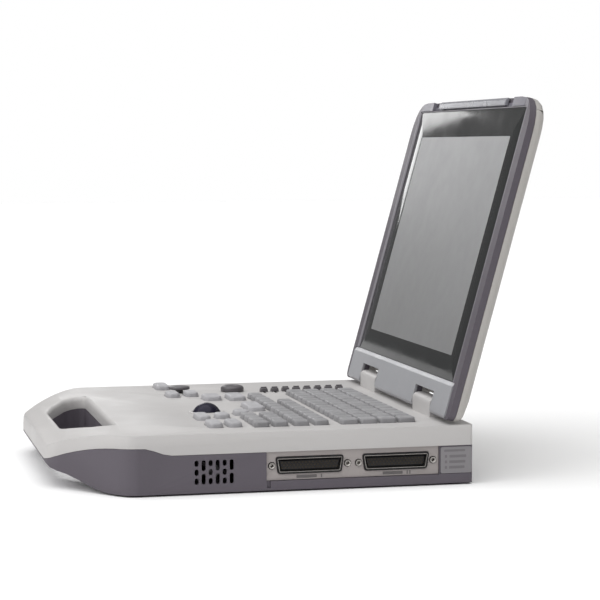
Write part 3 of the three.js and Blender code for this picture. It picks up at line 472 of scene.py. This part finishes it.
def shell_piece(name, node, material, body):
    """A copy of a CAD shell with rolled rims round its handle and a small bevel elsewhere."""
    bm = bmesh.new()
    bm.from_mesh(nodes[node].data)
    bmesh.ops.remove_doubles(bm, verts=bm.verts, dist=WELD_DISTANCE)
    bmesh.ops.dissolve_limit(bm, angle_limit=FLAT_ANGLE, verts=bm.verts, edges=bm.edges)
    weights = bm.edges.layers.float.new("bevel_weight_edge")
    for e in bm.edges:
        if len(e.link_faces) == 2 and e.calc_face_angle() > SHARP_EDGE and on_handle_rim(e):
            e[weights] = 1.0
    mesh = bpy.data.meshes.new(name)
    bm.to_mesh(mesh)
    bm.free()
    mesh.materials.append(material)
    mesh.shade_smooth()
    obj = bpy.data.objects.new(name, mesh)
    bpy.context.scene.collection.objects.link(obj)
    rims = obj.modifiers.new("rims", "BEVEL")
    rims.width = HANDLE_RIM * MM
    rims.segments = 4
    rims.limit_method = "WEIGHT"
    rims.use_clamp_overlap = False
    rims.harden_normals = True
    bevel = obj.modifiers.new("bevel", "BEVEL")
    bevel.width = SHELL_EDGE * MM
    bevel.segments = 3
    bevel.limit_method = "ANGLE"
    bevel.angle_limit = math.radians(40)
    bevel.harden_normals = True
    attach(obj, body)
    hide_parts(node)
    return obj


# ---------------------------------------------------------------- shells and plates

shell_piece("deck_shell", "top_case", WHITE, "base")
dress("bottom_case", GREY, 0.5, 2)
dress("probe_panel", PANEL, 0.25)
bezel = dress("lid_bezel", GREY, 0.5, 3)
bezel.data.materials.append(RIM_PAINTED_LIGHT)
# The bezel's front-facing polygons take the material with the painted highlight.
for face in bezel.data.polygons:
    out_of_glass = (face.center - on_lid(0, 0, 0)).dot(OUT_OF_GLASS)
    if face.normal.dot(OUT_OF_GLASS) > 0.5 and out_of_glass > -RIM_DEPTH * MM:
        face.material_index = 1
dress("lid_back_cover", LID_WHITE, 0.0)
dress("hinge_cover", SILVER, 0.5, 3)
dress("latch_frame", LATCH_FRAME, 0.25)
dress("latch_bar", LATCH, 0.5, 3)
dress("lcd_panel", DARK, 0.4)
dress("trackball_cup", BLACK, 0.3)
dress("slider_bank", BLACK, 0.3)
dress("key_board", BOARD, 0.2)
dress("main_board", BOARD, 0.2)
dress("battery_pack", WRAP, 1.0, 3)
dress("fan_frame", BLACK, 0.2)
dress("fan_rotor", DARK, 0.15)
dress("hinge_bracket_right", STEEL, 0.2)
dress("hinge_bracket_left", STEEL, 0.2)
for roller in ("roller_along_x", "roller_along_y"):
    dress(roller, TURNED, 0.15)
for side in ("right", "left"):
    dress(f"hinge_shaft_{side}", TURNED, 0.2)

# ---------------------------------------------------------------- keys

KEY_SIZE, KEY_PITCH, KEY_NEAR_X = 14.6, 15.8, 127.7
REAR_ROWS = [(y, 13) for y in (-47.2, -63.0, -79.0, -94.5)]
FRONT_ROWS = [(-117.8, 9), (-134.0, 12), (-151.0, 4), (-166.4, 4)]
FRONT_KEY_DEPTH = 12.6
WEB_MARGIN, WEB_LOW, WEB_TOP = 1, 43.8, 44.8
KEY_LOW = 44.6


def key_mat(name, node, rows, depth):
    """Every key of one silicone mat, on the thin web that joins them under the deck."""
    bm = bmesh.new()
    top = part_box(node)[1].z / MM
    rear = rows[0][0] + depth / 2 + WEB_MARGIN
    for y, columns in rows:
        right = KEY_NEAR_X + KEY_SIZE / 2 + WEB_MARGIN
        left = KEY_NEAR_X - (columns - 1) * KEY_PITCH - KEY_SIZE / 2 - WEB_MARGIN
        front = y - depth / 2 - WEB_MARGIN
        cx, cy = (left + right) / 2, (front + rear) / 2
        pillow(bm, at, cx, cy, right - left, rear - front, 2, WEB_LOW, WEB_TOP, 0.2)
        rear = y
        for column in range(columns):
            x = KEY_NEAR_X - column * KEY_PITCH
            pillow(bm, at, x, y, KEY_SIZE, depth, 3.0, KEY_LOW, top, 1.5, crown=-0.15, taper=0.45)
    return finish_piece(name, bm, [KEY_GREY], "base", [node], 50)


key_mat("rear_keys", "keyboard_mat", REAR_ROWS, KEY_SIZE)
key_mat("front_keys", "control_mat", FRONT_ROWS, FRONT_KEY_DEPTH)

for number in range(1, 12):
    node = f"function_key_{number}"
    low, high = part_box(node)
    cx, cy = plan_centre(node)
    flange_x, flange_y = (high.x - low.x) / MM, (high.y - low.y) / MM
    cap_x, cap_y = flange_x - 2, flange_y - 2
    bm = bmesh.new()
    pillow(bm, at, cx, cy, flange_x, flange_y, 5, 43.9, WEB_TOP, 0.2)
    pillow(
        bm, at, cx, cy, cap_x, cap_y, 4.6, KEY_LOW, high.z / MM, 1.8, crown=-0.1, taper=0.5, steps=8
    )
    finish_piece(f"soft_key_{number}", bm, [KEY_PALE], node, [node], 50)

# ---------------------------------------------------------------- ball, sliders and knobs

ball_low, ball_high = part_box("trackball")
ball_centre = (ball_low + ball_high) / 2
ball_x, ball_y = ball_centre.x / MM, (ball_centre.y - REAR) / MM
ball_radius = (ball_high.z - ball_low.z) / 2 / MM
ball_z = ball_centre.z / MM
bm = bmesh.new()
lathe(
    bm, at, ball_x, ball_y,
    [(ball_radius * math.sin(a), ball_z - ball_radius * math.cos(a)) for a in arc(36, 0.0, math.pi)],
    64,
)
finish_piece("ball", bm, [BALL], "trackball", ["trackball"])

# From the inner foot, out and up round the rolled lip, and back in: (radius, height).
ring_profile = [
    (12.6, 44.4), (15.0, 44.4), (15.0, 46.0), (14.8, 46.35), (14.4, 46.55), (13.8, 46.6),
    (12.7, 46.5), (12.15, 46.25), (11.95, 45.9), (12.05, 45.6), (12.6, 44.4),
]
bm = bmesh.new()
lathe(bm, at, ball_x, ball_y, ring_profile, 64)
finish_piece("ball_ring", bm, [WHITE], "base", ["trackball_ring"], 50)

for number in range(1, 9):
    node = f"slider_knob_{number}"
    cx, cy = plan_centre(node)
    bm = bmesh.new()
    pillow(bm, at, cx, cy, 3, 1.5, 0.3, 36, 49, 0.1)
    pillow(bm, at, cx, cy, 5.5, 7.4, 1.2, DECK + 0.5, DECK + 3.6, 0.8, crown=-0.1, taper=0.5)
    pillow(bm, at, cx, cy, 1.5, 5.6, 0.5, DECK + 3.2, DECK + 4.6, 0.5, taper=0.1)
    finish_piece(f"slider_cap_{number}", bm, [DARK], node, [node], 45)

# Both knobs turn on the same stem. The rest of each profile is its cap: (radius, height).
STEM = [(0, 38.4), (2.8, 38.4), (3, 38.7), (3, 48.2)]
GAIN_CAP = [
    (10.1, 48.2), (10.45, 48.5), (10.45, 50.5), (10.3, 51.3), (9.8, 52.1), (8.9, 52.8),
    (7.4, 53.3), (5.6, 53.4), (3.4, 53.1), (1.6, 52.8), (0, 52.7),
]
MENU_CAP = [
    (3.6, 48.3), (3.6, 50.4), (4.4, 50.9), (9.1, 51.0), (9.55, 51.3), (9.6, 52.4),
    (9.45, 53.0), (9.0, 53.4), (8.2, 53.6), (3.0, 53.55), (0, 53.5),
]
for node, name, cap in (
    ("gain_knob", "gain_dome", GAIN_CAP),
    ("menu_knob", "menu_mushroom", MENU_CAP),
):
    bm = bmesh.new()
    lathe(bm, at, *plan_centre(node), STEM + cap, 72)
    finish_piece(name, bm, [DARK], node, [node], 40)

# ---------------------------------------------------------------- probe sockets, screws and label


SOCKET_Z = 20.6
SOCKET_HALF_Y, SOCKET_HALF_Z, SOCKET_SLANT = 27.4, 6.6, 1.8


def d_outline(centre, grow, steps=6):
    """A D-shaped outline, wider along the top, as (y, z) points seen from outside."""
    a, b = SOCKET_HALF_Y + grow, SOCKET_HALF_Z + grow
    top, bottom = SOCKET_Z + b, SOCKET_Z - b
    corners = [
        (centre + a, top),
        (centre - a, top),
        (centre - a + SOCKET_SLANT, bottom),
        (centre + a - SOCKET_SLANT, bottom),
    ]
    radius = max(2.4 + grow, 0.4)
    points = []
    for i, (cy, cz) in enumerate(corners):
        before = Vector(corners[i - 1]) - Vector((cy, cz))
        after = Vector(corners[(i + 1) % 4]) - Vector((cy, cz))
        p0 = Vector((cy, cz)) + before.normalized() * radius
        p2 = Vector((cy, cz)) + after.normalized() * radius
        for t in arc(steps, 0.0, 1.0):
            points.append(p0 * (1 - t) ** 2 + Vector((cy, cz)) * 2 * t * (1 - t) + p2 * t * t)
    return points


def d_loft(bm, centre, rings, slot, cap_end=False):
    loft(
        bm,
        [[on_side(p.x, p.y, x) for p in d_outline(centre, grow)] for grow, x in rings],
        slot, cap_start=False, cap_end=cap_end,
    )


# Each profile is (growth of the D outline or radius, x).
SOCKET_SHELL = [
    (0, 144), (0, 160.1), (-0.12, 160.4), (-0.35, 160.58),
    (-0.75, 160.58), (-1.0, 160.4), (-1.1, 160.1), (-1.1, 155.5),
]
SOCKET_LINER = [
    (-1.15, 155.5), (-1.15, 159.6), (-1.25, 159.85), (-1.6, 159.85), (-1.7, 159.6), (-1.7, 155.5),
]
CONTACT_BLOCK = [(-1.1, 155.5), (-3.2, 155.5), (-3.2, 158.0), (-3.35, 158.3), (-3.7, 158.4)]
CONTACT_TUBE = [
    (0.72, 158.3), (0.72, 158.5), (0.62, 158.56), (0.42, 158.56), (0.38, 158.45), (0.38, 157.4),
]
CONTACT_ROWS = [(2.0, 17), (0.0, 16), (-2.0, 17)]
CONTACT_PITCH = 2.76

for number in (1, 2):
    node = f"probe_socket_{number}"
    centre = side_centre(node)[0]
    bm = bmesh.new()
    d_loft(bm, centre, SOCKET_SHELL, 0)
    d_loft(bm, centre, SOCKET_LINER, 1)
    d_loft(bm, centre, CONTACT_BLOCK, 0, cap_end=True)
    for row, count in CONTACT_ROWS:
        for i in range(count):
            y = centre + (i - (count - 1) / 2) * CONTACT_PITCH
            rings = [
                [on_side(a, b, x) for a, b in circle(y, SOCKET_Z + row, radius, 8)]
                for radius, x in CONTACT_TUBE
            ]
            loft(bm, rings, 2, cap_start=False, cap_end=True)
    finish_piece(f"socket_{number}", bm, [BLACK, STEEL, CONTACT], "base", [node], 40)

HEX_FROM_RADIUS, HEX_STEPS = 2.4, 30
THREAD_TURNS, THREAD_TOP, THREAD_PITCH = 6, 160.1, 0.6
POST = [(2.62, 153), (2.62, 159.9), (2.35, 160.45), (1.75, 160.48), (1.45, 160.3)]
for turn in range(THREAD_TURNS):
    depth = THREAD_TOP - turn * THREAD_PITCH
    POST += [(1.3, depth), (1.12, depth - THREAD_PITCH / 2)]


def hex_ring(cy, cz, radius, x):
    """One ring of a hexagonal post; its thinner rings are round."""
    ring = []
    for k in range(HEX_STEPS):
        angle = 2 * math.pi * k / HEX_STEPS
        r = radius
        if radius > HEX_FROM_RADIUS:
            r = radius * math.cos(math.pi / 6) / math.cos((angle % (math.pi / 3)) - math.pi / 6)
        ring.append(on_side(cy + r * math.cos(angle), cz + r * math.sin(angle), x))
    return ring


for number in range(1, 5):
    node = f"jack_screw_{number}"
    cy, cz = side_centre(node)
    bm = bmesh.new()
    loft(bm, [hex_ring(cy, cz, radius, x) for radius, x in POST])
    finish_piece(f"hex_post_{number}", bm, [STEEL], "base", [node], 30)

low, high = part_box("rating_label")
label_y, label_z = side_centre("rating_label")
label_w, label_h = (high.y - low.y) / MM, (high.z - low.z) / MM
label_x = high.x / MM
bm = bmesh.new()
pillow(bm, on_side, label_y, label_z, label_w, label_h, 1.6, label_x - 0.4, label_x - 0.02, 0.08)
# Plain bars stand in for the lines of print: (offset along, offset up, width, height).
bars = [(-1.4, 7.6, 17.5, 1.7)]
for row in (3.0, -1.4, -5.8):
    line = (1.0 + 0.3 * row / 3, row, 14.0 - 0.4 * abs(row - 3) / 3, 2.1)
    bars += [(-8.6, row, 1.9, 2.3), line]
for offset, height, width, thick in bars:
    bar_y, bar_z = label_y + offset, label_z + height
    pillow(
        bm, on_side, bar_y, bar_z, width, thick, 0.5, label_x - 0.1, label_x + 0.02, 0.02, slot=1
    )
finish_piece("label_plate", bm, [LABEL, INK], "base", ["rating_label"])

# Under each socket: a dash, then one or two tally strokes.
MARK_Z, MARK_SUNK, MARK_PROUD, MARK_EDGE = 11.4, 0.1, 0.04, 0.02
panel_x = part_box("probe_panel")[1].x / MM
mark_back, mark_face = panel_x - MARK_SUNK, panel_x + MARK_PROUD
bm = bmesh.new()
for centre, tallies in ((-134.0, 1), (-63.9, 2)):
    pillow(bm, on_side, centre - 2.5, MARK_Z, 16.5, 2.4, 0.6, mark_back, mark_face, MARK_EDGE)
    for i in range(tallies):
        stroke_y = centre + 9.5 + 2.2 * i
        pillow(bm, on_side, stroke_y, MARK_Z, 1.1, 2.8, 0.2, mark_back, mark_face, MARK_EDGE)
finish_piece("socket_marks", bm, [MARK], "base")

# ---------------------------------------------------------------- inlet and feet

low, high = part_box("power_inlet")
inlet_x, inlet_z = (low.x + high.x) / 2 / MM, (low.z + high.z) / 2 / MM


def on_rear(x, z, depth):
    """A point of the rear face, seen from outside; depth is outward."""
    return at(inlet_x + inlet_x - x, depth, z)


bm = bmesh.new()
barrel = [
    (5.9, -14), (5.95, -0.7), (5.75, -0.35), (5.4, -0.22), (4.5, -0.22),
    (4.15, -0.4), (4.0, -0.8), (4.0, -9.9), (0, -9.9),
]
lathe(bm, on_rear, inlet_x, inlet_z, barrel, 40)
lathe(bm, on_rear, inlet_x, inlet_z, [(0.95, -9.95), (0.95, -2.6), (0.7, -2.1), (0, -1.9)], 20, slot=1)
finish_piece("inlet_barrel", bm, [BLACK, STEEL], "base", ["power_inlet"], 40)

FOOT = [
    (0, 0.25), (3.2, 0.2), (3.6, 0.0), (5.9, 0.0), (6.5, 0.15),
    (6.85, 0.5), (7.0, 1.0), (7.0, 2.2), (0, 2.2),
]
for end in ("front", "rear"):
    for side in ("right", "left"):
        node = f"foot_{end}_{side}"
        bm = bmesh.new()
        lathe(bm, at, *plan_centre(node), FOOT, 40)
        finish_piece(f"pad_{end}_{side}", bm, [RUBBER], "base", [node], 50)

# ---------------------------------------------------------------- screen

bm = bmesh.new()


def pane_ring(half, low_s, high_s, radius, n):
    points = rounded_rect(0, (low_s + high_s) / 2, 2 * half, high_s - low_s, radius, 4)
    return [on_lid(x, s, n) for x, s in points]


loft(
    bm,
    [
        pane_ring(GLASS_X, GLASS_LOW, GLASS_HIGH, 2.0, -1.8),
        pane_ring(GLASS_X, GLASS_LOW, GLASS_HIGH, 2.0, -0.3),
        pane_ring(GLASS_X - 0.1, GLASS_LOW + 0.1, GLASS_HIGH - 0.1, 1.9, -0.08),
        pane_ring(GLASS_X - 0.35, GLASS_LOW + 0.35, GLASS_HIGH - 0.35, 1.7, 0.0),
        pane_ring(WINDOW_X, WINDOW_LOW, WINDOW_HIGH, 0.6, 0.0),
    ],
    0, cap_end=False,
)
loft(bm, [pane_ring(WINDOW_X, WINDOW_LOW, WINDOW_HIGH, 0.6, 0.0)], 1, cap_start=False, cap_end=True)
bmesh.ops.remove_doubles(bm, verts=bm.verts, dist=1e-7)
finish_piece("cover_glass", bm, [BORDER, WINDOW], "lid", ["screen_glass"], 30)

# ---------------------------------------------------------------- stage, light and camera

floor_mesh = bpy.data.meshes.new("floor")
bm = bmesh.new()
bmesh.ops.create_grid(bm, x_segments=1, y_segments=1, size=8.0)
bm.to_mesh(floor_mesh)
bm.free()
floor_nodes = Nodes("floor_paper")
paper = floor_nodes.mix(
    floor_nodes.spread(floor_nodes.noise(1.5), 0.0, 1.0), (0.96, 0.96, 0.96), (0.975, 0.975, 0.975)
)
floor_nodes.link(paper, floor_nodes.shader.inputs["Base Color"])
floor_nodes.set(Roughness=0.9, Specular_IOR_Level=0.1)
floor_mesh.materials.append(floor_nodes.material)
floor = bpy.data.objects.new("floor", floor_mesh)
bpy.context.scene.collection.objects.link(floor)

scene = bpy.context.scene
scene.view_settings.view_transform = "Standard"


def studio_world():
    """Pure white to the camera; to everything else a grey sky that brightens with height."""
    world = bpy.data.worlds.new("studio")
    world.use_nodes = True
    tree = world.node_tree
    tree.nodes.clear()
    seen = tree.nodes.new("ShaderNodeBackground")
    seen.inputs["Color"].default_value = (1.0, 1.0, 1.0, 1.0)
    seen.inputs["Strength"].default_value = 1.0
    coords = tree.nodes.new("ShaderNodeTexCoord")
    split = tree.nodes.new("ShaderNodeSeparateXYZ")
    rise = tree.nodes.new("ShaderNodeMapRange")
    rise.inputs["From Min"].default_value = -0.1
    rise.inputs["From Max"].default_value = 1.0
    rise.inputs["To Min"].default_value = 0.18
    rise.inputs["To Max"].default_value = 0.75
    lighting = tree.nodes.new("ShaderNodeBackground")
    choose = tree.nodes.new("ShaderNodeMixShader")
    path = tree.nodes.new("ShaderNodeLightPath")
    out = tree.nodes.new("ShaderNodeOutputWorld")
    tree.links.new(coords.outputs["Generated"], split.inputs["Vector"])
    tree.links.new(split.outputs["Z"], rise.inputs["Value"])
    tree.links.new(rise.outputs["Result"], lighting.inputs["Strength"])
    tree.links.new(path.outputs["Is Camera Ray"], choose.inputs["Fac"])
    tree.links.new(lighting.outputs["Background"], choose.inputs[1])
    tree.links.new(seen.outputs["Background"], choose.inputs[2])
    tree.links.new(choose.outputs["Shader"], out.inputs["Surface"])
    return world


scene.world = studio_world()


def soft_light(name, place, target, size, energy):
    """A rectangular lamp at a place, facing a target."""
    data = bpy.data.lights.new(name, "AREA")
    data.shape = "RECTANGLE"
    data.size, data.size_y = size
    data.energy = energy
    light = bpy.data.objects.new(name, data)
    light.location = place
    light.rotation_mode = "QUATERNION"
    light.rotation_quaternion = (Vector(target) - Vector(place)).to_track_quat("-Z", "Y")
    scene.collection.objects.link(light)
    return light


def sun_light(name, direction, angle, energy):
    """A sun that shines along a direction, softened by its angle in degrees."""
    data = bpy.data.lights.new(name, "SUN")
    data.angle = math.radians(angle)
    data.energy = energy
    light = bpy.data.objects.new(name, data)
    light.rotation_mode = "QUATERNION"
    light.rotation_quaternion = Vector(direction).to_track_quat("-Z", "Y")
    scene.collection.objects.link(light)


sun_light("overhead", (-0.22, 0.36, -1.0), 90.0, 2.2)
soft_light("front_left", (0.7, -1.9, 0.9), (0, -0.1, 0.1), (1.4, 1.0), 7.0)
glare = soft_light("glare_card", (-1.55, -0.02, 0.52), (0.05, -0.5, 0.35), (0.30, 0.36), 1.2)
glare.visible_camera = False

SENSOR_WIDTH, LENS = 36.0, 119.27
CAMERA_PLACE = (1.6604, -0.3628, 0.26845)
AZIMUTH, ELEVATION, ROLL = math.radians(76.69), math.radians(4.39), math.radians(-0.06)

camera_data = bpy.data.cameras.new("camera")
camera_data.sensor_width = SENSOR_WIDTH
camera_data.lens = LENS
camera_data.clip_start = 0.05
camera_data.clip_end = 60.0
camera = bpy.data.objects.new("camera", camera_data)
level = math.cos(ELEVATION)
forward = Vector((-math.sin(AZIMUTH) * level, math.cos(AZIMUTH) * level, -math.sin(ELEVATION)))
camera.location = CAMERA_PLACE
camera.rotation_mode = "QUATERNION"
turned = Matrix.Rotation(ROLL, 4, "Z").to_quaternion()
camera.rotation_quaternion = forward.to_track_quat("-Z", "Y") @ turned
scene.collection.objects.link(camera)
scene.camera = camera
